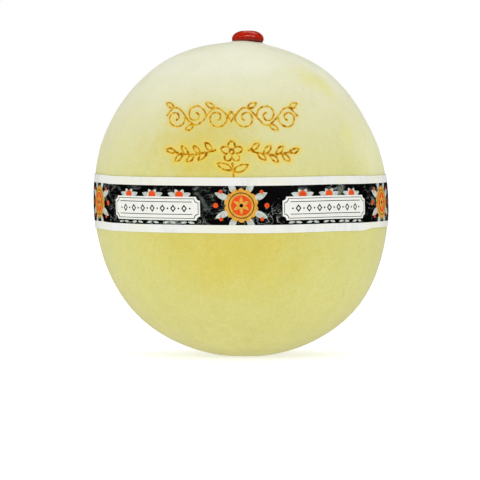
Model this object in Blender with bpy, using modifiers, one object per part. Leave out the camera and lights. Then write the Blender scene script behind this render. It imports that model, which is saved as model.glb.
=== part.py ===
"""A smooth round melon, with a paper band round its middle and a wax seal over its cut stalk.

Metres, +Z up. The origin is in the middle of the melon's outline, on the surface that it rests on.
The front of the band faces -Y, and turns are counted from +X towards +Y.
"""

import math

import bmesh
import bpy

# The fruit: rings stacked up a line that leans a little, as most melons do.
MELON_WIDTH = 0.1452
MELON_HEIGHT = 0.1562
WIDEST_HEIGHT = 0.078
SHOULDER_POWER = 2.17
UNDERSIDE_POWER = 2.5
LEAN = 0.022
FOOT_DEPTH = 0.0009
OVAL_SHARE = 0.006
LOBE_SHARE = 0.002

# Places where the skin stands out or is sunk: turn in degrees, height, spread and rise.
SWELLINGS = (
    (0, 0.119, 0.014, -0.00095),
    (180, 0.151, 0.008, 0.00095),
    (180, 0.1, 0.014, 0.00055),
)

# The stalk stands off the middle of the top, and the skin round it is drawn towards it.
STALK_X = 0.0032
STALK_REACH = 0.2
STALK_BASE_RADIUS = 0.0036
STALK_TOP_RADIUS = 0.003
STALK_RISE = 0.0034
STALK_ROOT = 0.008

# A low boss that the skin rises to round the stalk.
BOSS_RISE = 0.0022
BOSS_SPREAD = 0.0065

# The seal: an oval pad of wax that set over the stalk, with a full rim, soft lobes and drooping ends.
WAX_HALF_WIDTH = 0.0078
WAX_HALF_DEPTH = 0.0054
WAX_WIDEST_HEIGHT = 0.1586
WAX_TOP_HEIGHT = 0.1622
WAX_DEPTH = 0.004
WAX_FULLNESS = 0.7
WAX_DROOP = 0.0005
WAX_LOBE_SHARE = 0.045

# The band: a strip of paper that narrows to a tongue, which is pasted under the strip's start.
BAND_LOW = 0.0633
BAND_HIGH = 0.0901
BAND_THICKNESS = 0.0005
TONGUE_FIRST_TURN = -36.5
TONGUE_FULL_TURN = -27
TONGUE_RISE = 0.001
TONGUE_DROP = 0.0005
LAP_FIRST_TURN = 14
LAP_LAST_TURN = 27
LAP_THICKNESS = 0.0003
LAP_MARGIN = 0.001

# Pieces that lie on each other stay this far apart.
GAP = 0.0003

MELON_TURNS = 64
MELON_RINGS = 52
BAND_ROWS = 8
LAP_COLUMNS = 5
WAX_TURNS = 40
WAX_RINGS = 20
STALK_SIDES = 24

SKIN_COLOUR = (0.71, 0.66, 0.31, 1.0)
PAPER_COLOUR = (0.86, 0.86, 0.84, 1.0)
WAX_COLOUR = (0.43, 0.02, 0.008, 1.0)

WAIST_RADIUS = MELON_WIDTH / 2
SHOULDER_RISE = MELON_HEIGHT - WIDEST_HEIGHT
UNDERSIDE_DROP = WIDEST_HEIGHT + FOOT_DEPTH


def swell(turn):
    """How much wider than round the fruit is at this turn. It is nothing at the sides, front and back."""
    return 1 + OVAL_SHARE * math.sin(2 * turn) + LOBE_SHARE * math.sin(4 * turn)


def ring_radius(height):
    """The fruit's radius at this height, before it swells."""
    above = height >= WIDEST_HEIGHT
    rise = SHOULDER_RISE if above else UNDERSIDE_DROP
    power = SHOULDER_POWER if above else UNDERSIDE_POWER
    share = min(abs(height - WIDEST_HEIGHT) / rise, 1)
    return WAIST_RADIUS * math.sqrt(1 - share**power)


def ring_centre(height):
    """How far the middle of the ring at this height is from the origin, along X."""
    leaning = LEAN * (WIDEST_HEIGHT - height)
    narrow = ring_radius(height) / WAIST_RADIUS
    if height < WIDEST_HEIGHT or narrow > STALK_REACH:
        return leaning
    top_centre = -LEAN * SHOULDER_RISE
    return leaning + (STALK_X - top_centre) * (1 - narrow / STALK_REACH) ** 2


def swelling(turn, height, radius):
    """How far the skin stands out here from the even shape. It fades towards the stalk and the foot."""
    total = 0.0
    for side, middle, spread, rise in SWELLINGS:
        facing = max(math.cos(turn - math.radians(side)), 0) ** 2
        total += rise * facing * math.exp(-(((height - middle) / spread) ** 2))
    return total * min(radius / 0.02, 1)


def boss(x, y):
    """How far the upper skin rises here towards the stalk, above the even shape."""
    away = math.hypot(x - STALK_X, y)
    return BOSS_RISE * math.exp(-((away / BOSS_SPREAD) ** 2))


def skin_point(turn, height, out=0.0):
    """The point of the skin at this turn and height, or one that lies out from it."""
    radius = ring_radius(height) * swell(turn)
    radius += swelling(turn, height, radius) + out
    x = ring_centre(height) + radius * math.cos(turn)
    y = radius * math.sin(turn)
    rise = boss(x, y) if height > WIDEST_HEIGHT else 0
    return x, y, height + rise


def skin_height(x, y):
    """The height of the fruit's upper side over a point. Each round starts from the last one's ring."""
    height = MELON_HEIGHT
    for _ in range(12):
        across = x - ring_centre(height)
        turn = math.atan2(y, across)
        share = math.hypot(across, y) / (WAIST_RADIUS * swell(turn))
        fall = (1 - min(share, 1) ** 2) ** (1 / SHOULDER_POWER)
        height = WIDEST_HEIGHT + SHOULDER_RISE * fall
    return height + boss(x, y)


def material(name, colour, roughness):
    made = bpy.data.materials.new(name)
    made.use_nodes = True
    shader = made.node_tree.nodes["Principled BSDF"]
    shader.inputs["Base Color"].default_value = colour
    shader.inputs["Roughness"].default_value = roughness
    shader.inputs["Metallic"].default_value = 0.0
    made.diffuse_color = colour
    return made


def object_from(mesh_data, name, collection, finish=None):
    """Turns a bmesh into an object in this collection."""
    mesh = bpy.data.meshes.new(name)
    mesh_data.to_mesh(mesh)
    mesh_data.free()
    mesh.shade_smooth()
    made = bpy.data.objects.new(name, mesh)
    if finish:
        mesh.materials.append(finish)
    collection.objects.link(made)
    return made


def hide(helper):
    """Marks a cutter or an addition, which is no piece of its own."""
    helper.hide_render = True
    helper.display_type = "WIRE"
    return helper


def boolean(target, other, operation):
    cut = target.modifiers.new(operation.title(), "BOOLEAN")
    cut.operation = operation
    cut.solver = "EXACT"
    cut.object = other


def cone(name, collection, base_radius, top_radius, low, high):
    """An upright round cone at the stalk, open nowhere."""
    shape = bmesh.new()
    bmesh.ops.create_cone(
        shape,
        cap_ends=True,
        segments=STALK_SIDES,
        radius1=base_radius,
        radius2=top_radius,
        depth=high - low,
    )
    bmesh.ops.translate(shape, verts=shape.verts, vec=(STALK_X, 0, (low + high) / 2))
    return object_from(shape, name, collection)


def build_melon(parts, helpers):
    """The whole fruit in one piece: skin, flat foot and the stub of its stalk."""
    shape = bmesh.new()
    bmesh.ops.create_uvsphere(
        shape, u_segments=MELON_TURNS, v_segments=MELON_RINGS, radius=1
    )
    for vertex in shape.verts:
        turn = math.atan2(vertex.co.y, vertex.co.x)
        rise = SHOULDER_RISE if vertex.co.z > 0 else UNDERSIDE_DROP
        vertex.co = skin_point(turn, WIDEST_HEIGHT + rise * vertex.co.z)
    bmesh.ops.bisect_plane(
        shape,
        geom=shape.verts[:] + shape.edges[:] + shape.faces[:],
        plane_co=(0, 0, 0),
        plane_no=(0, 0, -1),
        clear_outer=True,
    )
    foot_edge = [edge for edge in shape.edges if edge.is_boundary]
    bmesh.ops.edgeloop_fill(shape, edges=foot_edge)
    bmesh.ops.recalc_face_normals(shape, faces=shape.faces)
    melon = object_from(shape, "melon", parts, material("skin", SKIN_COLOUR, 0.5))
    stub = cone(
        "stalk_stub",
        helpers,
        STALK_BASE_RADIUS,
        STALK_TOP_RADIUS,
        MELON_HEIGHT - STALK_ROOT,
        MELON_HEIGHT + STALK_RISE,
    )
    boolean(melon, hide(stub), "UNION")
    return melon


def band_edges(turn):
    """The heights of the band's two edges, which draw in along the tongue."""
    if turn > math.radians(LAP_FIRST_TURN):
        return BAND_LOW, BAND_HIGH
    taper = TONGUE_FULL_TURN - TONGUE_FIRST_TURN
    share = min(max((math.degrees(turn) - TONGUE_FIRST_TURN) / taper, 0), 1)
    return BAND_LOW + TONGUE_RISE * share, BAND_HIGH - TONGUE_DROP * share


def strip(first_turn, last_turn, columns, margin, out):
    """A grid laid along the skin as an open sheet between two turns, facing outwards."""
    shape = bmesh.new()
    bmesh.ops.create_grid(shape, x_segments=columns, y_segments=BAND_ROWS, size=1)
    for vertex in shape.verts:
        turn = first_turn + (last_turn - first_turn) * (vertex.co.x + 1) / 2
        low, high = band_edges(turn)
        rise = (high - low - 2 * margin) * (vertex.co.y + 1) / 2
        vertex.co = skin_point(turn, low + margin + rise, out)
    return shape


def thicken(target, thickness):
    wall = target.modifiers.new("Wall", "SOLIDIFY")
    wall.thickness = thickness
    wall.offset = 1
    wall.use_even_offset = True


def build_band(parts, helpers):
    """The paper ring, and the doubled stretch where the tongue lies under the strip's start."""
    ring = strip(-math.pi, math.pi, MELON_TURNS, 0, GAP)
    bmesh.ops.remove_doubles(ring, verts=ring.verts, dist=0.000001)
    band = object_from(ring, "paper_band", parts, material("paper", PAPER_COLOUR, 0.45))
    thicken(band, BAND_THICKNESS)
    pad = strip(
        math.radians(LAP_FIRST_TURN),
        math.radians(LAP_LAST_TURN),
        LAP_COLUMNS,
        LAP_MARGIN,
        GAP + BAND_THICKNESS / 2,
    )
    lap = object_from(pad, "lap", helpers)
    thicken(lap, BAND_THICKNESS / 2 + LAP_THICKNESS)
    boolean(band, hide(lap), "UNION")
    return band


def build_seal(parts, helpers):
    """The wax: a flat oval pad, squared at its rim, whose underside lies along the skin."""
    shape = bmesh.new()
    bmesh.ops.create_uvsphere(
        shape, u_segments=WAX_TURNS, v_segments=WAX_RINGS, radius=1
    )
    for vertex in shape.verts:
        turn = math.atan2(vertex.co.y, vertex.co.x)
        across = min(math.hypot(vertex.co.x, vertex.co.y), 1) ** WAX_FULLNESS
        lobes = 1 + WAX_LOBE_SHARE * math.sin(3 * turn)
        x = STALK_X + WAX_HALF_WIDTH * across * lobes * math.cos(turn)
        y = WAX_HALF_DEPTH * across * lobes * math.sin(turn)
        above = WAX_TOP_HEIGHT - WAX_WIDEST_HEIGHT
        depth = above if vertex.co.z > 0 else WAX_DEPTH
        z = WAX_WIDEST_HEIGHT + depth * vertex.co.z
        z -= WAX_DROOP * (across * math.cos(turn)) ** 2
        vertex.co = (x, y, max(z, skin_height(x, y) + GAP))
    seal = object_from(shape, "wax_seal", parts, material("wax", WAX_COLOUR, 0.25))
    socket = cone(
        "stalk_socket",
        helpers,
        STALK_BASE_RADIUS + GAP,
        STALK_TOP_RADIUS + GAP,
        MELON_HEIGHT - STALK_ROOT,
        MELON_HEIGHT + STALK_RISE + GAP,
    )
    boolean(seal, hide(socket), "DIFFERENCE")
    return seal


def collection(name):
    made = bpy.data.collections.new(name)
    bpy.context.scene.collection.children.link(made)
    return made


def main():
    for left_over in list(bpy.data.objects):
        bpy.data.objects.remove(left_over)
    parts = collection("banded_melon")
    helpers = collection("helpers")
    build_melon(parts, helpers)
    build_band(parts, helpers)
    build_seal(parts, helpers)


main()
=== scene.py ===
"""A smooth round melon with a printed paper band round its middle and a drop of wax on its stalk.

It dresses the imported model: skin, healed marks in the skin, band, wax and a plain pale studio.
The front of the band faces -Y. Turns are counted from +X towards +Y, and bearings from the front
towards the right, so that a bearing of 90 degrees is +X.
"""

from math import atan2, ceil, cos, dist, exp, hypot, pi, radians, sin, sqrt

import bmesh
import bpy
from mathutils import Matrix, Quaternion, Vector, noise
from mathutils.geometry import delaunay_2d_cdt
from mathutils.kdtree import KDTree


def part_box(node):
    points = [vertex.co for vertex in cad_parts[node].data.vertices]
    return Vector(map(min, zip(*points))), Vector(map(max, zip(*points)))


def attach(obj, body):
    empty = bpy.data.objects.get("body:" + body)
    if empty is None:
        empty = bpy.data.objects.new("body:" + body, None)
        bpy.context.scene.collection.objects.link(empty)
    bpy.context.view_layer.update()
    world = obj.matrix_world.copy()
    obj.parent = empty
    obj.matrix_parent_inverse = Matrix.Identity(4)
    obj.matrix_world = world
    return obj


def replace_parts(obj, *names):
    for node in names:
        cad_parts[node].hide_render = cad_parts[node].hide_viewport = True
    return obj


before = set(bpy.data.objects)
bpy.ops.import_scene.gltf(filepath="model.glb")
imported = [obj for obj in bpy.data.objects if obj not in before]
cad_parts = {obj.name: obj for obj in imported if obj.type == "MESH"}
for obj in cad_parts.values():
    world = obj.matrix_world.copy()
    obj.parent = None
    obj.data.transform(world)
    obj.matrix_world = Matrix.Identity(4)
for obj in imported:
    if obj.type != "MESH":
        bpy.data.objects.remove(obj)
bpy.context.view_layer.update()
BAND_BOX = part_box("paper_band")
WAX_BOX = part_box("wax_seal")

bl_info = {
    "name": "Banded Melon",
    "version": (1, 0, 0),
    "blender": (4, 5, 0),
    "location": "3D View > Sidebar > Melon",
    "description": "Builds a melon with a printed paper band and a wax seal",
    "category": "Add Mesh",
}

MM = 0.001
FRONT = -pi / 2
SAME_POINT = 0.001 * MM

# The skin
STALK_REACH = 0.2  # rings narrower than this share of the widest one are drawn to the stalk
FADE_RADIUS = 0.02  # within it, the swellings fade towards the stalk and the foot
SLOW_WAVES = 28  # to the metre
HEIGHT_ROUNDS = 12

# The blossom scar
SCAR_TOP = 2 * MM
HOLLOW_DEPTH = 0.75 * MM
BUTTON_DEPTH = 0.5 * MM
SPOKE_DEPTH = 0.09 * MM

# The healed lines: step and shake are in millimetres
LINE_STEP = 0.6
LINE_SHAKE = 0.3
CURL_STEPS = 40
UPPER_THICKNESS, LOWER_THICKNESS = 0.3, 0.48
UPPER_GLOW, LOWER_GLOW = 1.0 * MM, 1.6 * MM
FIRST_TIP, LAST_TIP = 0.45, 0.5

# The paper: its points are a step apart, in millimetres
PAPER_STEP = 1.5
PAPER_ROWS = 14
PAPER_GAP = 0.14 * MM
EDGE_LIFT = 0.1 * MM
LAP_RISE = 1.35
CREASE_SCALE = 240.0
CREASE_DRAW = 0.22

# The wax
RUN_TURN = radians(-48)
WAX_UNEVENNESS = 0.12 * MM
WAX_SINK = 0.05 * MM

# Places where the skin stands out or is sunk: turn in degrees, height, spread and rise.
SWELLINGS = (
    (0, 0.144, 0.006, 0.0006),
    (0, 0.119, 0.014, -0.00085),
    (0, 0.071, 0.017, 0.0007),
    (0, 0.021, 0.011, 0.0004),
    (180, 0.151, 0.008, 0.00095),
    (180, 0.1455, 0.007, 0.0003),
    (180, 0.1, 0.014, 0.0005),
    (180, 0.071, 0.015, 0.00085),
    (180, 0.033, 0.012, -0.0003),
)

# Patches in the skin: colour, middle, reach, strength and tilt about Y in degrees.
PATCHES = (
    ("ripe", (-0.006, -0.066, 0.058), (0.112, 0.07, 0.062), 0.64, 0),
    ("ripe", (-0.016, -0.062, 0.104), (0.07, 0.07, 0.05), 0.75, 0),
    ("ripe", (0.03, 0.062, 0.07), (0.09, 0.07, 0.08), 0.6, 0),
    ("straw", (0.0325, -0.034, 0.1385), (0.024, 0.03, 0.018), 0.6, 20),
    ("straw", (0.0405, -0.031, 0.1356), (0.03, 0.022, 0.0125), 0.75, 45),
    ("straw", (0.052, -0.04, 0.111), (0.012, 0.02, 0.02), 0.5, 10),
    # Pale skin round the stalk. It is also painted light that lightens the shade under the wax.
    ("pale", (0.0032, 0, 0.158), (0.022, 0.02, 0.012), 0.7, 0),
    ("pale", (0.068, -0.02, 0.1), (0.05, 0.06, 0.06), 0.4, 0),
    # Pale spot where the fruit has lain, made brighter still as painted light that lifts the
    # shade near the floor.
    ("ground", (0.001, 0, -0.003), (0.16, 0.16, 0.045), 0.55, 0),
)


def decimal(name, description, default, **more):
    return bpy.props.FloatProperty(name=name, description=description, default=default, **more)


def length(name, description, default):
    return decimal(name, description, default, unit="LENGTH", precision=5)


def share(name, description, default, most=1.0):
    return decimal(name, description, default, min=0.0, max=most)


def angle(name, description, degrees):
    return decimal(name, description, radians(degrees), unit="ROTATION")


def colour(name, description, default):
    return bpy.props.FloatVectorProperty(
        name=name, description=description, default=default, subtype="COLOR", min=0.0, max=1.0
    )


class FruitSettings(bpy.types.PropertyGroup):
    width: length("Width", "Across the fruit at its widest", 0.1452)
    height: length("Height", "From the resting spot to the top of the skin", 0.1562)
    widest: length("Widest at", "Height of the widest ring", 0.078)
    lean: share("Lean", "Lean for each metre of height", 0.022)
    foot_depth: length("Foot depth", "How much of the tip is pressed flat", 0.0009)
    shoulder_power: share("Shoulder fullness", "Higher is squarer above", 2.17, 4.0)
    underside_power: share("Underside fullness", "Higher is squarer below", 2.5, 4.0)
    oval: share("Oval", "How far the rings are from round", 0.006)
    unevenness: length("Unevenness", "Depth of the slow swellings of the skin", 0.00022)
    stalk_x: length("Stalk offset", "From the middle to the stalk, along X", 0.0032)
    boss_rise: length("Boss rise", "Rise of the skin round the stalk", 0.0022)
    boss_spread: length("Boss spread", "How far the rise reaches", 0.0065)
    scar_radius: length("Blossom scar", "Radius of the scar underneath", 0.0072)
    crown: colour("Crown", "Skin round the stalk", (0.80, 0.80, 0.63))
    shoulder: colour("Shoulder", "Skin halfway up the upper side", (0.76, 0.74, 0.47))
    belly: colour("Belly", "Skin at the widest ring", (0.665, 0.635, 0.232))
    base: colour("Base", "Skin near the resting spot", (0.66, 0.61, 0.225))
    ripe: colour("Ripe", "Patches that the sun has ripened", (0.675, 0.537, 0.07))
    straw: colour("Straw", "Streak on the shoulder", (0.76, 0.72, 0.26))
    # Near the stalk this colour is also painted light that lightens the shade under the wax.
    pale: colour("Pale", "Ring of skin round the stalk", (0.88, 0.88, 0.60))
    # Pale spot where the fruit has lain. It is also painted light that lightens the bottom
    # against the shade near the floor.
    ground: colour("Ground", "Spot that the fruit has lain on", (0.84, 0.78, 0.31))
    green: colour("Green", "Soft clouds in the skin", (0.56, 0.56, 0.16))
    freckle: colour("Freckle", "Small dots", (0.46, 0.44, 0.12))


class MarkSettings(bpy.types.PropertyGroup):
    centre: length("Centre", "From the front to the ornament, along the skin", -0.004)
    scroll_height: length("Scroll height", "Height of the scroll's middle line", 0.1195)
    garland_height: length("Garland height", "Height of the flower and its branches", 0.1025)
    line_radius: length("Line radius", "Half the width of a healed line", 0.00042)
    relief: share("Relief", "Share of its radius that a line stands out", 0.35)
    young_cork: colour("Young cork", "Thin stretches of a healed line", (0.68, 0.42, 0.03))
    cork: colour("Cork", "Healed line", (0.56, 0.26, 0.006))
    old_cork: colour("Old cork", "Thick stretches of a healed line", (0.32, 0.11, 0.002))
    halo: colour("Halo", "Skin beside a healed line", (0.82, 0.61, 0.075))


class BandSettings(bpy.types.PropertyGroup):
    low: length("Lower edge", "Height of the lower edge", BAND_BOX[0].z)
    high: length("Upper edge", "Height of the upper edge", BAND_BOX[1].z)
    thickness: length("Paper", "Thickness of the paper", 0.00014)
    start: angle("Start", "Bearing where the strip starts, over its own tongue", -256.0)
    end: angle("End", "Bearing where the tongue ends, under the start", 117.0)
    taper_start: angle("Taper start", "Bearing where the strip starts to narrow", 54.5)
    taper_end: angle("Taper end", "Bearing where the strip is a tongue", 63.0)
    tongue_rise: length("Tongue rise", "How far the tongue's lower edge is set in", 0.001)
    tongue_drop: length("Tongue drop", "How far the tongue's upper edge is set in", 0.0003)
    stripe_low: length("Stripe foot", "Plain paper below the dark stripe", 0.0039)
    stripe_high: length("Stripe top", "Dark stripe's top, above the band's lower edge", 0.0229)
    repeats: bpy.props.IntProperty(
        name="Repeats", description="Times that the print goes round", default=5, min=3
    )
    paper: colour("Paper", "Coated paper", (0.81, 0.81, 0.75))
    ink: colour("Ink", "Dark stripe", (0.0012, 0.0014, 0.0014))
    marble: colour("Marble", "Pale veins of the dark stripe", (0.15, 0.17, 0.145))
    panel: colour("Panel", "Bare panels", (0.82, 0.82, 0.74))
    gold: colour("Gold", "Rosettes", (0.72, 0.36, 0.05))
    coral: colour("Coral", "Berries and the middles of rosettes", (0.80, 0.085, 0.012))
    leaf: colour("Leaf", "Printed leaves", (0.58, 0.62, 0.54))


class SealSettings(bpy.types.PropertyGroup):
    half_width: length("Half width", "Half the width of the pad, along X", 0.0078)
    half_depth: length("Half depth", "Half the depth of the pad, along Y", 0.0066)
    top: length("Top", "Height of its highest point", WAX_BOX[1].z)
    widest: length("Widest at", "Height of its widest ring", 0.1586)
    depth: length("Depth", "How far its rim rolls under", 0.004)
    fullness: share("Fullness", "Lower is squarer", 0.7)
    droop: length("Droop", "How far its two ends hang down", 0.0008)
    lobes: share("Lobes", "How far its soft lobes stand out", 0.045)
    run: share("Run", "How far it has run down at its front right", 0.12)
    dimple: length("Dimple", "Depth of the hollow on top", 0.0003)
    wax: colour("Wax", "Sealing wax", (0.5, 0.0165, 0.001))


class StudioSettings(bpy.types.PropertyGroup):
    distance: length("Distance", "From the camera to the fruit", 2.0)
    elevation: angle("Elevation", "How far the camera looks down", 2.1)
    aim: length("Aim", "Height that the camera looks at", 0.0574)
    aim_x: length("Aim aside", "How far to the right of the middle it looks", -0.0006)
    lens: decimal("Lens", "Focal length", 300.0)
    daylight: share("Daylight", "Strength of the white surroundings", 0.83, 4.0)
    gloss: share("Gloss", "Strength of the surroundings in what mirrors them", 0.04, 4.0)


# Shape of the fruit


def blend_in(value, low, high):
    """A soft step from 0 at low to 1 at high."""
    part = min(max((value - low) / (high - low), 0.0), 1.0)
    return part * part * (3 - 2 * part)


def ring_radius(fruit, height):
    above = height >= fruit.widest
    rise = fruit.height - fruit.widest if above else fruit.widest + fruit.foot_depth
    power = fruit.shoulder_power if above else fruit.underside_power
    part = min(abs(height - fruit.widest) / rise, 1.0)
    return fruit.width / 2 * sqrt(1 - part**power)


def ring_centre(fruit, height):
    """How far the middle of the ring at this height is from the origin, along X."""
    leaning = fruit.lean * (fruit.widest - height)
    narrow = ring_radius(fruit, height) / (fruit.width / 2)
    if height < fruit.widest or narrow > STALK_REACH:
        return leaning
    top_centre = fruit.lean * (fruit.widest - fruit.height)
    return leaning + (fruit.stalk_x - top_centre) * (1 - narrow / STALK_REACH) ** 2


def roundness(fruit, turn):
    """A ring's width at this turn against a round one's: 1 at its sides, front and back."""
    return 1 + fruit.oval * sin(2 * turn) + fruit.oval / 3 * sin(4 * turn)


def fading(radius):
    return min(radius / FADE_RADIUS, 1)


def swelling(turn, height, radius):
    """How far the skin stands out here from the even shape."""
    total = 0.0
    for side, middle, spread, rise in SWELLINGS:
        facing = max(cos(turn - radians(side)), 0) ** 2
        total += rise * facing * exp(-(((height - middle) / spread) ** 2))
    return total * fading(radius)


def boss(fruit, x, y):
    """How far the upper skin rises here towards the stalk, above the even shape."""
    away = hypot(x - fruit.stalk_x, y)
    return fruit.boss_rise * exp(-((away / fruit.boss_spread) ** 2))


def skin_point(fruit, turn, height, out=0.0):
    """The point of the skin at this turn and height, or one that lies out from it."""
    radius = ring_radius(fruit, height) * roundness(fruit, turn)
    radius += swelling(turn, height, radius)
    place = Vector((cos(turn), sin(turn), 0)) * radius
    slow = noise.noise(Vector((place.x, place.y, height)) * SLOW_WAVES)
    radius += fruit.unevenness * slow * fading(radius) + out
    middle = ring_centre(fruit, height)
    place = Vector((middle + radius * cos(turn), radius * sin(turn), height))
    if height > fruit.widest:
        place.z += boss(fruit, place.x, place.y)
    return place


def skin_height(fruit, x, y):
    """The height of the fruit's upper side over a point. Each round starts from the last ring."""
    height = fruit.height
    rise = fruit.height - fruit.widest
    for _ in range(HEIGHT_ROUNDS):
        across = x - ring_centre(fruit, height)
        turn = atan2(y, across)
        part = hypot(across, y) / (fruit.width / 2 * roundness(fruit, turn))
        height = fruit.widest + rise * (1 - min(part, 1) ** 2) ** (1 / fruit.shoulder_power)
    return height + boss(fruit, x, y)


def foot_relief(fruit, point):
    """The scar under the fruit: a shallow hollow with a low button and fine spokes in it."""
    across = point.x - ring_centre(fruit, 0.0)
    away = hypot(across, point.y)
    turn = atan2(point.y, across)
    reach = fruit.scar_radius * (1 + 0.05 * sin(3 * turn + 1) + 0.03 * sin(7 * turn))
    hollow = 1 - blend_in(away, reach * 0.78, reach * 1.08)
    button = 1 - blend_in(away, reach * 0.2, reach * 0.42)
    spokes = 0.5 + 0.5 * sin(22 * turn + 2 * sin(3 * turn))
    return HOLLOW_DEPTH * hollow - BUTTON_DEPTH * button + SPOKE_DEPTH * spokes * hollow


# Materials


def opaque(rgb):
    return (*rgb, 1.0)


def fill(node, inputs):
    """Gives a node its inputs by name or _number: outputs, numbers or colours."""
    for key, value in inputs.items():
        socket = node.inputs[int(key[1:]) if key[0] == "_" else key.replace("_", " ")]
        if isinstance(value, bpy.types.NodeSocket):
            node.id_data.links.new(value, socket)
        else:
            socket.default_value = opaque(value) if socket.type == "RGBA" else value
    return node


def new_material(name):
    """A Principled material, a function that adds a node to it, and the place in the piece."""
    made = bpy.data.materials.new(name)
    made.use_nodes = True

    def add(kind, settings=None, **inputs):
        node = made.node_tree.nodes.new(kind)
        for key, value in (settings or {}).items():
            setattr(node, key, value)
        return fill(node, inputs)

    return made, add, add("ShaderNodeTexCoord").outputs["Object"]


def set_shader(made, **inputs):
    fill(made.node_tree.nodes["Principled BSDF"], inputs)
    return made


def ramp(add, value, stops, smooth=True):
    """A colour ramp. Each stop is a place from 0 to 1 and a colour or a grey."""
    node = add("ShaderNodeValToRGB", Fac=value)
    node.color_ramp.interpolation = "EASE" if smooth else "LINEAR"
    elements = node.color_ramp.elements
    while len(elements) < len(stops):
        elements.new(0.5)
    for element, (place, tone) in zip(elements, stops):
        element.position = place
        element.color = opaque(tone if hasattr(tone, "__len__") else (tone, tone, tone))
    return node.outputs["Color"]


def mix(add, factor, first, second, how="MIX"):
    settings = {"data_type": "RGBA", "blend_type": how}
    return add("ShaderNodeMix", settings, _0=factor, _6=first, _7=second).outputs[2]


def maths(add, how, first, second=0.0, clamp=False):
    settings = {"operation": how, "use_clamp": clamp}
    return add("ShaderNodeMath", settings, _0=first, _1=second).outputs[0]


def clouds(add, where, scale, detail=2.0, roughness=0.5, distortion=0.0):
    """Noise from 0 to 1. The scale is in waves to the metre."""
    look = {"Detail": detail, "Roughness": roughness, "Distortion": distortion}
    return add("ShaderNodeTexNoise", Vector=where, Scale=scale, **look).outputs["Fac"]


def bump(add, height, distance, **under):
    """A bump this deep, on top of the one whose output is given as Normal."""
    node = add("ShaderNodeBump", Height=height, Distance=distance, Strength=1.0, **under)
    return node.outputs["Normal"]


def unsettled(add, value, cloud, depth):
    """A value from 0 to 1, moved up and down by noise."""
    moved = maths(add, "ADD", value, maths(add, "MULTIPLY", cloud, depth))
    return maths(add, "ADD", moved, -depth / 2, clamp=True)


def drawn_up(add, where, scale):
    """The place with its height scaled. A scale under 1 draws a pattern out upright."""
    return add("ShaderNodeMapping", Vector=where, Scale=(1.0, 1.0, scale)).outputs[0]


def measure(add, name):
    """A number that the piece keeps for each of its points."""
    return add("ShaderNodeAttribute", {"attribute_name": name}).outputs["Fac"]


def both(add, first, second):
    return mix(add, 1.0, first, second, "MULTIPLY")


def patch(add, where, centre, reach, most, tilt):
    """A soft, ragged patch in the skin, tilted about Y: how strong it is at each point."""
    tilted = (0.0, radians(tilt), 0.0)
    place = {"Vector": where, "Location": centre, "Rotation": tilted, "Scale": reach}
    near = add("ShaderNodeMapping", {"vector_type": "TEXTURE"}, **place).outputs[0]
    away = add("ShaderNodeVectorMath", {"operation": "LENGTH"}, _0=near).outputs["Value"]
    ragged = maths(add, "MULTIPLY", clouds(add, where, 60.0, 8.0, 0.75), 0.8)
    return ramp(add, maths(add, "ADD", away, ragged), [(0.45, most), (1.0, 0.0)])


def skin_material(fruit, marks):
    """Waxy rind: cream at the crown, straw yellow below, with ripe patches and fine mottling."""
    made, add, where = new_material("melon_rind")
    level = add("ShaderNodeSeparateXYZ", Vector=where).outputs["Z"]
    level = maths(add, "DIVIDE", level, fruit.height)
    level = unsettled(add, level, clouds(add, where, 14.0, 3.0), 0.14)
    tones = [(0.0, fruit.base), (0.3, fruit.belly), (0.5, fruit.belly)]
    tones += [(0.8, fruit.shoulder), (0.92, fruit.crown)]
    tone = ramp(add, level, tones, smooth=False)
    for name, *shape in PATCHES:
        tone = mix(add, patch(add, where, *shape), tone, getattr(fruit, name))
    cloudy = ramp(add, clouds(add, where, 38.0, 4.0, 0.6), [(0.46, 0.0), (0.74, 0.14)])
    tone = mix(add, cloudy, tone, fruit.green)
    upright = drawn_up(add, where, 0.14)
    streaked = ramp(add, clouds(add, upright, 95.0, 3.0), [(0.45, 0.0), (0.65, 0.36)])
    tone = mix(add, streaked, tone, (0.93, 0.95, 0.90), "MULTIPLY")
    depth = ramp(add, level, [(0.5, 1.0), (0.75, 0.5)])
    for scale, shade, low, high, most in (
        (950.0, (0.84, 0.86, 0.62), 0.4, 0.6, 0.32),
        (420.0, (1.0, 0.93, 0.60), 0.42, 0.62, 0.34),
        (230.0, (0.91, 0.95, 0.86), 0.45, 0.65, 0.34),
    ):
        grain = ramp(add, clouds(add, where, scale, 4.0, 0.7), [(low, 0.0), (high, most)])
        tone = mix(add, both(add, grain, depth), tone, shade, "MULTIPLY")
    dots = add("ShaderNodeTexVoronoi", Vector=where, Scale=330.0, Randomness=1.0)
    near = ramp(add, dots.outputs["Distance"], [(0.06, 1.0), (0.2, 0.0)])
    chosen = add("ShaderNodeSeparateColor", Color=dots.outputs["Color"]).outputs["Red"]
    chosen = ramp(add, chosen, [(0.9, 0.0), (0.99, 0.4)])
    tone = mix(add, both(add, near, chosen), tone, fruit.freckle)
    for name, most, shade in (("halo", 0.8, marks.halo), ("scar", 0.85, marks.cork)):
        tone = mix(add, maths(add, "MULTIPLY", measure(add, name), most), tone, shade)
    rough = ramp(add, clouds(add, where, 120.0, 3.0), [(0.3, 0.36), (0.7, 0.5)])
    pores = bump(add, clouds(add, where, 950.0), 0.06 * MM)
    return set_shader(
        made,
        Base_Color=tone,
        Roughness=rough,
        Normal=bump(add, clouds(add, where, 170.0, 3.0), 0.16 * MM, Normal=pores),
        Specular_IOR_Level=0.08,
        Subsurface_Weight=0.12,
        Subsurface_Radius=(1.0, 0.7, 0.25),
        Subsurface_Scale=3 * MM,
        Sheen_Weight=0.26,
        Sheen_Roughness=0.45,
    )


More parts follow.
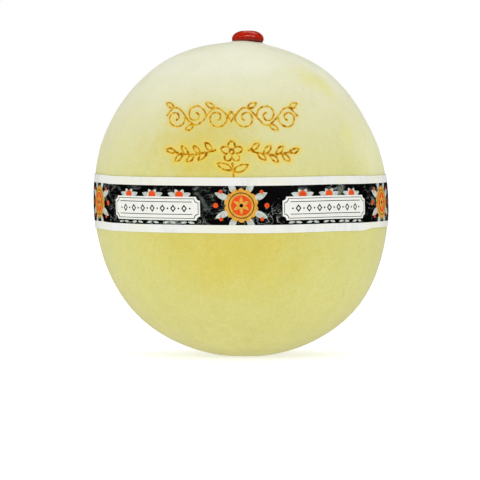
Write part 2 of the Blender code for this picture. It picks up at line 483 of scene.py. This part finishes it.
def cork_material(marks):
    """Healed skin: dry, uneven, brown where it is thick and golden where it is thin."""
    made, add, where = new_material("healed_cork")
    browned = unsettled(add, measure(add, "thick"), clouds(add, where, 900.0, 4.0, 0.65), 0.5)
    tones = [(0.1, marks.young_cork), (0.45, marks.cork), (0.85, marks.old_cork)]
    return set_shader(
        made,
        Base_Color=ramp(add, browned, tones),
        Roughness=0.72,
        Normal=bump(add, clouds(add, where, 1800.0, 3.0, 0.7), 0.12 * MM),
        Specular_IOR_Level=0.03,
    )


def paper_finish(made, add, where, tone):
    """The satin coat that all of the band shares: faint fibres and upright creases."""
    fibres = bump(add, clouds(add, where, 2600.0, 3.0, 0.7), 0.012 * MM)
    creased = clouds(add, drawn_up(add, where, CREASE_DRAW), CREASE_SCALE, 3.0, 0.6)
    return set_shader(
        made,
        Base_Color=tone,
        Roughness=ramp(add, clouds(add, where, 300.0), [(0.3, 0.3), (0.7, 0.42)]),
        Normal=bump(add, creased, 0.16 * MM, Normal=fibres),
        Specular_IOR_Level=0.06,
        Sheen_Weight=0.03,
        Sheen_Roughness=0.12,
    )


def paper_material(band):
    """Coated paper with painted shade in its creases, and a little yellowed in patches."""
    made, add, where = new_material("coated_paper")
    upright = drawn_up(add, where, CREASE_DRAW)
    slanted = add("ShaderNodeMapping", Vector=upright, Rotation=(0.0, 0.3, 0.0)).outputs[0]
    shaded_pleats = ramp(add, clouds(add, where, 34.0), [(0.46, 0.12), (0.6, 1.0)])
    creased = clouds(add, slanted, CREASE_SCALE, 3.0, 0.6)
    # Painted shade: the paper is greyed along its creases where it pleats.
    creased = both(add, ramp(add, creased, [(0.42, 0.0), (0.62, 0.5)]), shaded_pleats)
    tone = mix(add, creased, band.paper, (0.66, 0.67, 0.60))
    yellowed = ramp(add, clouds(add, where, 55.0, 3.0), [(0.42, 0.0), (0.62, 0.7)])
    return paper_finish(made, add, where, mix(add, yellowed, tone, (0.80, 0.79, 0.64)))


def stripe_material(band):
    """Printed black marble: slow grey-green clouds, thin veins and a few pale flecks."""
    made, add, where = new_material("marbled_ink")
    flattened = drawn_up(add, where, 1.7)
    cloudy = clouds(add, flattened, 62.0, 5.0, 0.6, 0.9)
    tone = mix(add, ramp(add, cloudy, [(0.56, 0.0), (0.74, 1.0)]), band.ink, band.marble)
    drawn = clouds(add, flattened, 105.0, 5.0, 0.58, 1.6)
    vein = maths(add, "ABSOLUTE", maths(add, "SUBTRACT", drawn, 0.5))
    vein = ramp(add, vein, [(0.0, 0.55), (0.02, 0.0)])
    only = ramp(add, clouds(add, where, 48.0), [(0.48, 0.0), (0.62, 1.0)])
    tone = mix(add, both(add, vein, only), tone, band.leaf)
    fleck = ramp(add, clouds(add, where, 900.0), [(0.72, 0.0), (0.78, 0.5)])
    return paper_finish(made, add, where, mix(add, fleck, tone, band.leaf))


def ink_material(name, rgb, shade, scale):
    """A printed colour with a second, darker tone worked into it."""
    made, add, where = new_material(name)
    worked = ramp(add, clouds(add, where, scale, 4.0, 0.65, 0.6), [(0.42, 0.0), (0.7, 0.7)])
    darker = [part * shade for part in rgb]
    return paper_finish(made, add, where, mix(add, worked, rgb, darker))


def wax_material(seal):
    """Sealing wax: glossy, a little clear, darker in its streaks, with painted shade where it
    rolls under.
    """
    made, add, where = new_material("sealing_wax")
    streaks = ramp(add, clouds(add, where, 240.0, 3.0, 0.5, 1.2), [(0.4, 0.0), (0.75, 0.3)])
    # A darker red, for the streaks and for the painted shade under the rim.
    dark = [part * kept for part, kept in zip(seal.wax, (0.2, 0.05, 0.05))]
    tone = mix(add, streaks, seal.wax, dark)
    # Painted shade: the wax is darkened where its surface faces down under the rolled rim, and it
    # is rougher there.
    rim = measure(add, "rim")
    return set_shader(
        made,
        Base_Color=mix(add, maths(add, "MULTIPLY", rim, 0.95), tone, dark),
        Roughness=ramp(add, rim, [(0.3, 0.14), (0.9, 0.8)]),
        Normal=bump(add, clouds(add, where, 220.0), 0.03 * MM),
        Specular_IOR_Level=0.38,
        Subsurface_Weight=0.06,
        Subsurface_Radius=(1.0, 0.2, 0.1),
        Subsurface_Scale=MM,
    )


# Making and finishing pieces


def start_clean():
    """Leaves edit mode and deselects all, because an operator acts on all that is selected."""
    if bpy.context.object and bpy.context.object.mode != "OBJECT":
        bpy.ops.object.mode_set(mode="OBJECT")
    bpy.ops.object.select_all(action="DESELECT")


def subdivide_where(piece, wanted, cuts):
    """Splits the faces whose middle passes a test."""
    bpy.ops.object.mode_set(mode="EDIT")
    bpy.ops.mesh.select_all(action="DESELECT")
    bpy.ops.mesh.select_mode(type="FACE")
    bpy.ops.object.mode_set(mode="OBJECT")
    for face in piece.data.polygons:
        face.select = wanted(face.center)
    bpy.ops.object.mode_set(mode="EDIT")
    bpy.ops.mesh.subdivide(number_cuts=cuts)
    bpy.ops.object.mode_set(mode="OBJECT")


def keep_values(piece, name, values):
    """Keeps a number for each of the piece's points, which its material reads."""
    piece.data.attributes.new(name, "FLOAT", "POINT").data.foreach_set("value", values)


def finish_piece(piece, name, sharp=None):
    piece.name = name
    piece.data.name = name
    if sharp is None:
        bpy.ops.object.shade_smooth()
    else:
        bpy.ops.object.shade_smooth_by_angle(angle=radians(sharp))
    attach(piece, "root")
    return piece


def new_object(name, data):
    start_clean()
    made = bpy.data.objects.new(name, data)
    bpy.context.scene.collection.objects.link(made)
    made.select_set(True)
    bpy.context.view_layer.objects.active = made
    return made


# The healed marks, as lines on the skin: along from the middle, and up, in millimetres


def arc_points(points, step):
    """The same line with a point every step."""
    made = [points[0]]
    for before, after in zip(points, points[1:]):
        parts = max(1, round((after - before).length / step))
        made.extend(before.lerp(after, part / parts) for part in range(1, parts + 1))
    return made


def spiral(centre, start, turns, tightness, way):
    """A curl that starts at a point and winds in towards its centre."""
    first = start - centre
    bearing = atan2(first.y, first.x)
    made = []
    for step in range(CURL_STEPS + 1):
        part = step / CURL_STEPS
        reach = first.length * (1 - (1 - tightness) * part)
        turn = bearing + way * 2 * pi * turns * part
        made.append(centre + Vector((cos(turn), sin(turn))) * reach)
    return made


def leaf_line(foot, bearing, size, width):
    """A pointed leaf drawn as one line that ends where it starts."""
    return leaf_outline(foot, bearing, size, width, 0.85) + [foot]


def scroll_lines():
    """Half of the upper scroll: a wavy stem, a curl in each hollow and a leaf on each crest."""
    first, wave, crest, count, steps = 1.6, 10.6, 4.2, 3, 20
    stem = []
    for step in range(count * steps + 1):
        along = step / steps
        stem.append(Vector((first + wave * along, crest * sin(pi * along))))
    yield stem
    for number in range(count):
        side = -1 if number % 2 else 1
        node = Vector((first + wave * number, 0))
        centre = node + Vector((wave * 0.5, -side * 0.7))
        start = node + Vector((0.2, 0))
        yield spiral(centre, start, turns=1.25, tightness=0.18, way=side)
        tip = node + Vector((wave * 0.6, side * (crest - 0.1)))
        yield leaf_line(tip, side * 28, size=5.0, width=2.2)


def garland_lines():
    """Half of the lower ornament: a sagging branch with leaves on both its sides by turns."""
    first, lift, sag, reach = 7.5, 1.0, 2.4, 25
    branch = []
    for step in range(22):
        branch.append(Vector((first + step, -sag * sin(pi * step / reach) + lift)))
    yield branch
    for number, foot in enumerate(branch[2:20:3]):
        yield leaf_line(foot, -42 if number % 2 else 48, size=5.4, width=2.3)
    yield leaf_line(branch[-1] - Vector((0.15, 0)), 14, size=5.2, width=2.2)


def flower_lines():
    """The flower between the two branches. Its stem goes down under the band."""
    petals, eye = [], []
    for step in range(121):
        turn = radians(3 * step)
        out = Vector((sin(turn), cos(turn)))
        petals.append(out * (2.0 + 3.1 * abs(cos(2.5 * turn)) ** 0.7))
        if step % 5 == 0:
            eye.append(out * 1.1)
    stem = [Vector((0.5 * sin(step / 4), -5.1 - step)) for step in range(12)]
    left = leaf_line(Vector((0.2, -8.6)), 158, size=8.0, width=3.0)
    right = leaf_line(Vector((0.4, -9.6)), 24, size=8.0, width=3.0)
    return [petals, eye, stem, left, right]


def mark_lines(marks):
    """Every healed line, as points in metres: along the skin from the front, and height."""

    def placed(lines, height, flip):
        for line in lines:
            made = []
            for point in arc_points(line, LINE_STEP):
                spot = Vector((point.x * 0.4, point.y * 0.4, height * 100 + flip))
                other = spot + Vector((9, 4, 2))
                shake = Vector((noise.noise(spot), noise.noise(other))) * LINE_SHAKE
                flat = Vector((point.x * flip, point.y)) + shake
                made.append(Vector((marks.centre + flat.x * MM, height + flat.y * MM)))
            yield made

    diamond = [Vector(p) for p in ((0, 2.6), (1.5, 0), (0, -2.6), (-1.5, 0), (0, 2.6))]
    found = list(placed([diamond], marks.scroll_height, 1))
    for flip in (1, -1):
        found += placed(scroll_lines(), marks.scroll_height, flip)
        found += placed(garland_lines(), marks.garland_height, flip)
    found += placed(flower_lines(), marks.garland_height, 1)
    return found


def thickness(marks, along, height):
    """How thick and brown a healed line is here, from 0 to 1."""
    lower = height < (marks.scroll_height + marks.garland_height) / 2
    even = LOWER_THICKNESS if lower else UPPER_THICKNESS
    uneven = 0.9 * noise.noise(Vector((along, height, 0.0002)) * 700)
    return min(max(even + uneven, 0.0), 1.0)


def on_skin(fruit, along, height, out=0.0):
    """The point at this distance along the skin from the front, at this height."""
    return skin_point(fruit, FRONT + along / ring_radius(fruit, height), height, out)


def line_fullness(marks, spot, number, last):
    """A line's radius at a point against its usual one, with a knot near each end."""
    ends = min(number, last - number)
    knot = 0.5 * exp(-((ends - 1.2) ** 2) / 1.6)
    # A line may end where it starts, so its two tips differ and share no corner.
    tip = FIRST_TIP if number == 0 else LAST_TIP if ends == 0 else 1
    return (0.62 + 0.65 * thickness(marks, *spot) + knot) * tip


def glow(piece, fruit, marks):
    """How near each of the rind's points is to a healed line, from 0 to 1."""
    lines = [on_skin(fruit, spot.x, spot.y) for line in mark_lines(marks) for spot in line]
    tree = KDTree(len(lines))
    for number, point in enumerate(lines):
        tree.insert(point, number)
    tree.balance()
    lower_top = marks.garland_height + 7 * MM
    found = []
    for vertex in piece.data.vertices:
        closest, _, apart = tree.find(vertex.co)
        reach = UPPER_GLOW if closest.z > lower_top else LOWER_GLOW
        found.append(exp(-((apart / reach) ** 2)))
    return found


# The print, as outlines on the flat strip: along from the front, and up, in millimetres


def oval_outline(x, y, across, up, count):
    made = []
    for step in range(count):
        turn = 2 * pi * step / count
        made.append((x + across * cos(turn), y + up * sin(turn)))
    return made


def scalloped_outline(x, y, reach, depth, lobes):
    made = []
    for step in range(lobes * 8):
        turn = 2 * pi * step / (lobes * 8)
        far = reach - depth * (1 - abs(sin(lobes * turn / 2)))
        made.append((x + far * cos(turn), y + far * sin(turn)))
    return made


def leaf_outline(foot, bearing, size, width, fullness=0.8):
    """A pointed leaf, out along one side and back along the other. Its bearing is in degrees."""
    turn = radians(bearing)
    along = Vector((cos(turn), sin(turn)))
    side = Vector((-along.y, along.x))
    made = []
    for way in (1, -1):
        for step in range(12):
            part = step / 12 if way == 1 else 1 - step / 12
            bulge = width / 2 * sin(pi * part) ** fullness * way
            made.append(foot + along * size * part + side * bulge)
    return made


def lozenge_outline(x, y, across, up):
    return [(x + across, y), (x, y + up), (x - across, y), (x, y - up)]


def panel_outline(x, y, across, up, notch):
    """A panel with a round bite out of each corner."""
    made = []
    for side, top, first in ((1, 1, 270), (-1, 1, 360), (-1, -1, 90), (1, -1, 180)):
        corner_x, corner_y = x + side * across, y + top * up
        for step in range(7):
            turn = radians(first - 90 * step / 6)
            made.append((corner_x + notch * cos(turn), corner_y + notch * sin(turn)))
    return made


def rosette_print(x, y):
    """A scalloped gold rosette with a coral middle, and leaves and berries on both sides."""
    for side in (1, -1):
        for lift in (62, 25, -25, -62):
            turn = radians(lift)
            foot = Vector((x + side * 5.5 * cos(turn), y + 6 * sin(turn)))
            bearing = lift if side == 1 else 180 - lift
            size = 8.5 if abs(lift) < 40 else 7.0
            yield "leaf", leaf_outline(foot, bearing, size, 3.2)
        yield "coral", oval_outline(x + side * 12.4, y, 1.25, 1.25, 16)
        for lift in (6.6, -6.6):
            yield "coral", oval_outline(x + side * 9.9, y + lift, 0.95, 0.95, 14)
    yield "gold", scalloped_outline(x, y, 8.3, 0.9, 14)
    for ink, radius, count in (("ink", 6.3, 40), ("gold", 5.9, 40), ("coral", 4.9, 36)):
        yield ink, oval_outline(x, y, radius, radius, count)
    for petal in range(6):
        yield "gold", leaf_outline(Vector((x, y)), 30 + 60 * petal, 4.2, 1.7)
    yield "ink", oval_outline(x, y, 0.9, 0.9, 14)


def panel_print(x, y):
    """A bare panel with a thin border and a line of lozenges, under a row of buds."""
    for shift in (-15.0, 0.0, 15.0):
        foot = Vector((x + shift, y + 5.2))
        for bearing, size in ((20, 6.4), (160, 6.4), (62, 4.6), (118, 4.6)):
            yield "leaf", leaf_outline(foot, bearing, size, 2.7)
        yield "coral", oval_outline(x + shift, y + 6.6, 2.1, 1.9, 20)
    for shift in (-19.0, -9.5, 0.0, 9.5, 19.0):
        for out, bearing in ((-3.6, 8), (3.6, 172)):
            foot = Vector((x + shift + out, y - 7.0))
            yield "leaf", leaf_outline(foot, bearing, 3.4, 1.1)
    yield "panel", panel_outline(x, y, 25.5, 5.7, 1.9)
    yield "ink", panel_outline(x, y, 24.7, 4.9, 2.0)
    yield "panel", panel_outline(x, y, 24.4, 4.6, 2.0)
    for number in range(-7, 8):
        middle = x + number * 2.9
        if number % 2:
            yield "ink", lozenge_outline(middle, y, 0.55, 0.55)
        else:
            yield "ink", lozenge_outline(middle, y, 1.5, 1.9)
            yield "panel", lozenge_outline(middle, y, 0.75, 0.95)
    left, right = x - 21.5, x + 21.5
    for low in (y + 3.0, y - 3.0):
        high = low + 0.35
        yield "ink", [(left, low), (right, low), (right, high), (left, high)]


def with_short_edges(outline):
    """The same outline in short edges, so that it can wrap round the fruit."""
    made = []
    for before, after in zip(outline, outline[1:] + outline[:1]):
        parts = ceil(dist(before, after) / PAPER_STEP)
        for part in range(parts):
            made.append([a + (b - a) * part / parts for a, b in zip(before, after)])
    return made


def print_shapes(band, reach):
    """Everything that is printed on the stripe, in the order of printing."""
    middle = (band.stripe_low + band.stripe_high) / 2 / MM
    step = 2 * pi / band.repeats
    numbers = range(-band.repeats, band.repeats)
    for number in numbers:
        yield from panel_print((number + 0.5) * step * reach, middle - 1.6)
    for number in numbers:
        yield from rosette_print(number * step * reach, middle)


def inside(point, outline):
    """Whether a point is in an outline, by how often a level line from it crosses."""
    found = False
    x, y = point
    last_x, last_y = outline[-1]
    for next_x, next_y in outline:
        if (next_y > y) != (last_y > y):
            if x < (last_x - next_x) * (y - next_y) / (last_y - next_y) + next_x:
                found = not found
        last_x, last_y = next_x, next_y
    return found


def strip_edges(band, bearing):
    """The strip's lower and upper edge at this bearing, above the band's lower edge."""
    narrow = blend_in(bearing, band.taper_start, band.taper_end)
    full = band.high - band.low
    return band.tongue_rise * narrow, full - band.tongue_drop * narrow


def strip_outline(band, reach):
    count = 240
    bearings = [band.start + (band.end - band.start) * i / count for i in range(count + 1)]
    edges = [(reach * bearing, *strip_edges(band, bearing)) for bearing in bearings]
    return [(x, low / MM) for x, low, _ in edges] + [(x, high / MM) for x, _, high in edges[::-1]]


def flat_print(band, reach):
    """The strip laid flat, cut into triangles along every printed outline.

    It returns the points, the triangles and each triangle's ink.
    """
    edge = strip_outline(band, reach)
    first, last = band.start * reach, band.end * reach
    low, high = band.stripe_low / MM, band.stripe_high / MM
    stripe = [(first - 2, low), (last + 2, low), (last + 2, high), (first - 2, high)]
    shapes = []
    for ink, outline in print_shapes(band, reach):
        xs = [point[0] for point in outline]
        ys = [point[1] for point in outline]
        if max(xs) > first and min(xs) < last:
            shapes.append((ink, outline, min(xs), max(xs), min(ys), max(ys)))
    points, lines = [], []
    for outline in [edge, stripe] + [shape[1] for shape in shapes]:
        outline = with_short_edges(outline)
        start = len(points)
        points += map(Vector, outline)
        lines += [(start + i, start + (i + 1) % len(outline)) for i in range(len(outline))]
    columns = round((last - first) / PAPER_STEP)
    full = (band.high - band.low) / MM
    narrows = band.taper_start * reach - 2
    for column in range(1, columns):
        for row in range(1, PAPER_ROWS):
            x = first + (last - first) * (column + 0.5 * (row % 2)) / columns
            y = full * row / PAPER_ROWS
            if x <= narrows or inside((x, y), edge):
                points.append(Vector((x, y)))
    corners, _, triangles = delaunay_2d_cdt(points, lines, [], 0, 1e-5)[:3]
    kept, inks = [], []
    for triangle in triangles:
        middle = sum((corners[i] for i in triangle), Vector((0, 0))) / 3
        if not inside(middle, edge):
            continue
        ink = "paper"
        if low < middle.y < high:
            ink = "stripe"
            for name, outline, left, right, foot, top in reversed(shapes):
                near = left < middle.x < right and foot < middle.y < top
                if near and inside(middle, outline):
                    ink = name
                    break
        kept.append(triangle)
        inks.append(ink)
    return corners, kept, inks


def paper_lift(band, bearing, up):
    """How far the paper stands off the skin. Its edges lift and pleat a little, and it laps."""
    full = band.high - band.low
    lift = EDGE_LIFT * blend_in(up, full * 0.5, full)
    for most, waves, row, away, part in (
        (0.4 * MM, 26, 0.3, up, 0.74),
        (0.3 * MM, 17, 7.3, full - up, 0.8),
    ):
        pleat = max(noise.noise(Vector((bearing * waves, row, up * 60))), 0.0)
        lift += most * pleat * blend_in(away, full * part, full)
    lift += 0.05 * MM * noise.noise(Vector((bearing * 9, 2.1, up * 120)))
    lap = 1 - blend_in(bearing - band.start, radians(13.5), radians(19))
    return PAPER_GAP + lift + LAP_RISE * band.thickness * lap


def band_mesh(fruit, band, inks):
    """The printed strip wrapped round the fruit, as one open sheet that faces out."""
    reach = fruit.width / 2 / MM
    corners, triangles, names = flat_print(band, reach)
    shape = bmesh.new()
    placed = []
    for corner in corners:
        bearing = corner.x / reach
        up = corner.y * MM
        askew = 0.16 * noise.noise(Vector((bearing * 3, 0.5, 0.5)))
        askew += 0.35 * blend_in(bearing, 0.05, 0.5) + 0.5 * blend_in(-bearing, 1.0, 1.25)
        height = band.low + up + askew * MM
        out = paper_lift(band, bearing, up) + band.thickness
        placed.append(shape.verts.new(skin_point(fruit, FRONT + bearing, height, out)))
    for triangle, name in zip(triangles, names):
        face = shape.faces.new([placed[i] for i in triangle])
        face.material_index = inks.index(name)
    loose = [vertex for vertex in shape.verts if not vertex.link_faces]
    bmesh.ops.delete(shape, geom=loose, context="VERTS")
    mesh = bpy.data.meshes.new("paper_band_printed")
    shape.to_mesh(mesh)
    shape.free()
    return mesh


# The wax


def seal_point(fruit, seal, spot):
    """Where a point of a unit sphere goes in the wax."""
    turn = atan2(spot.y, spot.x)
    across = min(hypot(spot.x, spot.y), 1) ** seal.fullness
    lobes = 1 + seal.lobes * sin(3 * turn) + 0.02 * sin(5 * turn + 1)
    lobes += seal.run * max(cos(turn - RUN_TURN), 0) ** 8
    x = fruit.stalk_x + seal.half_width * across * lobes * cos(turn)
    y = seal.half_depth * across * lobes * sin(turn)
    depth = seal.top - seal.widest if spot.z > 0 else seal.depth
    z = seal.widest + depth * spot.z - seal.droop * (across * cos(turn)) ** 2
    if spot.z > 0:
        z -= seal.dimple * exp(-((across / 0.42) ** 2))
        z += WAX_UNEVENNESS * noise.noise(Vector((x, y, 0)) * 300) * across
    return x, y, max(z, skin_height(fruit, x, y) - WAX_SINK)


# The stage


def make_floor():
    start_clean()
    bpy.ops.mesh.primitive_plane_add(size=14, location=(0, 0, 0))
    floor = bpy.context.object
    floor.name = "studio_floor"
    made, add, where = new_material("studio_white")
    set_shader(
        made,
        Base_Color=ramp(add, clouds(add, where, 3.0), [(0.3, 0.76), (0.7, 0.78)]),
        Roughness=0.9,
        Specular_IOR_Level=0.0,
        Emission_Color=(0.82, 0.85, 1.0),
        Emission_Strength=0.55,
    )
    floor.data.materials.append(made)
    floor.visible_glossy = False


def daylight_world(studio):
    """White surroundings: full to the camera, dim in mirrors and daylight elsewhere."""
    world = bpy.data.worlds.new("studio_daylight")
    world.use_nodes = True
    tree = world.node_tree
    ray = tree.nodes.new("ShaderNodeLightPath").outputs
    strength = studio.daylight
    for kind, other in (("Is Glossy Ray", studio.gloss), ("Is Camera Ray", 1.0)):
        chosen = tree.nodes.new("ShaderNodeMix")
        fill(chosen, {"Factor": ray[kind], "A": strength, "B": other})
        strength = chosen.outputs["Result"]
    fill(tree.nodes["Background"], {"Color": (1.0, 1.0, 1.0), "Strength": strength})
    return world


def add_light(name, place, sides, power, roll=0):
    """A soft rectangular light that faces the fruit. It rolls by degrees."""
    start_clean()
    bpy.ops.object.light_add(type="AREA", location=place)
    lamp = bpy.context.object
    lamp.name = name
    lamp.data.shape = "RECTANGLE"
    lamp.data.size, lamp.data.size_y = sides
    lamp.data.energy = power
    aim = Vector((0, 0, 0.08)) - Vector(place)
    turned = aim.to_track_quat("-Z", "Y") @ Quaternion((0, 0, 1), radians(roll))
    lamp.rotation_euler = turned.to_euler()
    return lamp


def add_camera(studio):
    bpy.ops.object.camera_add()
    camera = bpy.context.object
    camera.name = "photo_camera"
    up = studio.elevation
    back = Vector((0, -studio.distance * cos(up), studio.distance * sin(up)))
    camera.location = Vector((studio.aim_x, 0, studio.aim)) + back
    camera.rotation_euler = (pi / 2 - up, 0, 0)
    camera.data.lens = studio.lens
    camera.data.sensor_width = 36.0
    return camera


# Operators


class MELON_OT_rind(bpy.types.Operator):
    """Makes the fruit: its skin, its blossom scar and the glow beside the healed marks."""

    bl_idname = "melon.rind"
    bl_label = "Melon"

    def execute(self, context):
        fruit = context.scene.melon_fruit
        marks = context.scene.melon_marks
        start_clean()
        bpy.ops.mesh.primitive_uv_sphere_add(segments=160, ring_count=110, radius=1)
        piece = bpy.context.object
        # The skin is finer under the healed marks and round the blossom scar.
        subdivide_where(piece, lambda c: c.y < -0.75 and 0.1 < c.z < 0.68, 2)
        subdivide_where(piece, lambda c: c.z < -0.98, 3)
        rise = fruit.height - fruit.widest
        drop = fruit.widest + fruit.foot_depth
        for vertex in piece.data.vertices:
            turn = atan2(vertex.co.y, vertex.co.x)
            height = fruit.widest + (rise if vertex.co.z > 0 else drop) * vertex.co.z
            place = skin_point(fruit, turn, height)
            place.z = max(place.z, 0.0)
            if place.z < SCAR_TOP:
                place.z += foot_relief(fruit, place)
            vertex.co = place
        keep_values(piece, "halo", glow(piece, fruit, marks))
        foot = Vector((ring_centre(fruit, 0.0), 0, 0))
        away = [(vertex.co - foot).length / fruit.scar_radius for vertex in piece.data.vertices]
        keep_values(piece, "scar", [1 - blend_in(part, 0.8, 1.25) for part in away])
        piece.data.materials.append(skin_material(fruit, marks))
        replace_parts(finish_piece(piece, "melon_rind"), "melon")
        return {"FINISHED"}


class MELON_OT_marks(bpy.types.Operator):
    """Makes the healed marks: low corky lines that stand a little above the skin."""

    bl_idname = "melon.marks"
    bl_label = "Healed marks"

    def execute(self, context):
        fruit = context.scene.melon_fruit
        marks = context.scene.melon_marks
        lines = bpy.data.curves.new("healed_marks", "CURVE")
        lines.dimensions = "3D"
        lines.bevel_depth = marks.line_radius
        lines.bevel_resolution = 2
        lines.use_fill_caps = True
        for line in mark_lines(marks):
            spline = lines.splines.new("POLY")
            spline.points.add(len(line) - 1)
            for number, (point, spot) in enumerate(zip(spline.points, line)):
                point.co = (spot.x, spot.y, 0, 1)
                point.radius = line_fullness(marks, spot, number, len(line) - 1)
        new_object("healed_marks", lines)
        bpy.ops.object.convert(target="MESH")
        piece = bpy.context.object
        flat = [vertex.co.copy() for vertex in piece.data.vertices]
        keep_values(piece, "thick", [thickness(marks, spot.x, spot.y) for spot in flat])
        for vertex, spot in zip(piece.data.vertices, flat):
            vertex.co = on_skin(fruit, spot.x, spot.y, spot.z * marks.relief)
        bpy.ops.object.mode_set(mode="EDIT")
        bpy.ops.mesh.select_all(action="SELECT")
        bpy.ops.mesh.remove_doubles(threshold=SAME_POINT)
        bpy.ops.mesh.normals_make_consistent(inside=False)
        bpy.ops.object.mode_set(mode="OBJECT")
        piece.data.materials.append(cork_material(marks))
        finish_piece(piece, "healed_marks")
        return {"FINISHED"}


class MELON_OT_band(bpy.types.Operator):
    """Makes the paper band: one printed strip whose tongue goes under its own start."""

    bl_idname = "melon.band"
    bl_label = "Paper band"

    def execute(self, context):
        fruit = context.scene.melon_fruit
        band = context.scene.melon_band
        finishes = {"stripe": stripe_material(band)}
        for ink, name, shade, scale in (
            ("panel", "panel_white", 0.93, 160.0),
            ("ink", "line_black", 0.6, 300.0),
            ("gold", "rosette_gold", 0.62, 420.0),
            ("coral", "berry_coral", 0.55, 330.0),
            ("leaf", "leaf_grey_green", 0.35, 520.0),
        ):
            finishes[ink] = ink_material(name, getattr(band, ink), shade, scale)
        finishes["paper"] = paper_material(band)
        inks = list(finishes)
        piece = new_object("paper_band_printed", band_mesh(fruit, band, inks))
        for finish in finishes.values():
            piece.data.materials.append(finish)
        wall = piece.modifiers.new("Paper", "SOLIDIFY")
        wall.thickness = band.thickness
        wall.offset = -1
        # The back and the cut edges take the last material, which is the bare paper.
        wall.material_offset = len(inks)
        wall.material_offset_rim = len(inks)
        bpy.ops.object.modifier_apply(modifier=wall.name)
        finish_piece(piece, "paper_band_printed", sharp=40)
        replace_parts(piece, "paper_band")
        return {"FINISHED"}


class MELON_OT_seal(bpy.types.Operator):
    """Makes the wax seal: a thick glossy pad with a rolled rim, soft lobes and drooping ends."""

    bl_idname = "melon.seal"
    bl_label = "Wax seal"

    def execute(self, context):
        fruit = context.scene.melon_fruit
        seal = context.scene.melon_seal
        start_clean()
        bpy.ops.mesh.primitive_uv_sphere_add(segments=96, ring_count=64, radius=1)
        piece = bpy.context.object
        for vertex in piece.data.vertices:
            vertex.co = seal_point(fruit, seal, vertex.co.copy())
        # Where the wax faces down, for the painted shade under its rim.
        under = [1 - blend_in(vertex.normal.z, -0.7, 0.2) for vertex in piece.data.vertices]
        keep_values(piece, "rim", under)
        piece.data.materials.append(wax_material(seal))
        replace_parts(finish_piece(piece, "wax_seal_drop"), "wax_seal")
        return {"FINISHED"}


class MELON_OT_studio(bpy.types.Operator):
    """Makes the stage: a wide pale floor, white surroundings, soft lights and the camera."""

    bl_idname = "melon.studio"
    bl_label = "Studio"

    def execute(self, context):
        studio = context.scene.melon_studio
        make_floor()
        context.scene.world = daylight_world(studio)
        add_light("key_softbox", (0.1, -0.95, 0.9), (0.9, 0.3), power=1.2)
        glint = add_light("glint_strip", (0.14, -0.95, 0.66), (1.5, 0.24), power=7.0, roll=-14)
        glint.visible_diffuse = False
        add_light("side_softbox", (-1.0, -0.6, 0.6), (0.3, 0.4), power=0.7)
        add_light("top_softbox", (0.18, 0.5, 1.2), (1.0, 0.6), power=3.2)
        context.scene.camera = add_camera(studio)
        context.scene.view_settings.view_transform = "Standard"
        return {"FINISHED"}


class MELON_PT_sidebar(bpy.types.Panel):
    """Lists the pieces and their settings."""

    bl_label = "Banded Melon"
    bl_space_type = "VIEW_3D"
    bl_region_type = "UI"
    bl_category = "Melon"

    def draw(self, context):
        for operator, name, group in STEPS:
            box = self.layout.box()
            box.operator(operator.bl_idname)
            for setting in group.__annotations__:
                box.prop(getattr(context.scene, name), setting)


STEPS = (
    (MELON_OT_rind, "melon_fruit", FruitSettings),
    (MELON_OT_marks, "melon_marks", MarkSettings),
    (MELON_OT_band, "melon_band", BandSettings),
    (MELON_OT_seal, "melon_seal", SealSettings),
    (MELON_OT_studio, "melon_studio", StudioSettings),
)


def register():
    for operator, name, group in STEPS:
        bpy.utils.register_class(group)
        setattr(bpy.types.Scene, name, bpy.props.PointerProperty(type=group))
        bpy.utils.register_class(operator)
    bpy.utils.register_class(MELON_PT_sidebar)


def unregister():
    bpy.utils.unregister_class(MELON_PT_sidebar)
    for operator, name, group in STEPS:
        bpy.utils.unregister_class(operator)
        delattr(bpy.types.Scene, name)
        bpy.utils.unregister_class(group)


def main():
    register()
    bpy.ops.melon.rind()
    bpy.ops.melon.marks()
    bpy.ops.melon.band()
    bpy.ops.melon.seal()
    bpy.ops.melon.studio()


if __name__ == "__main__":
    main()
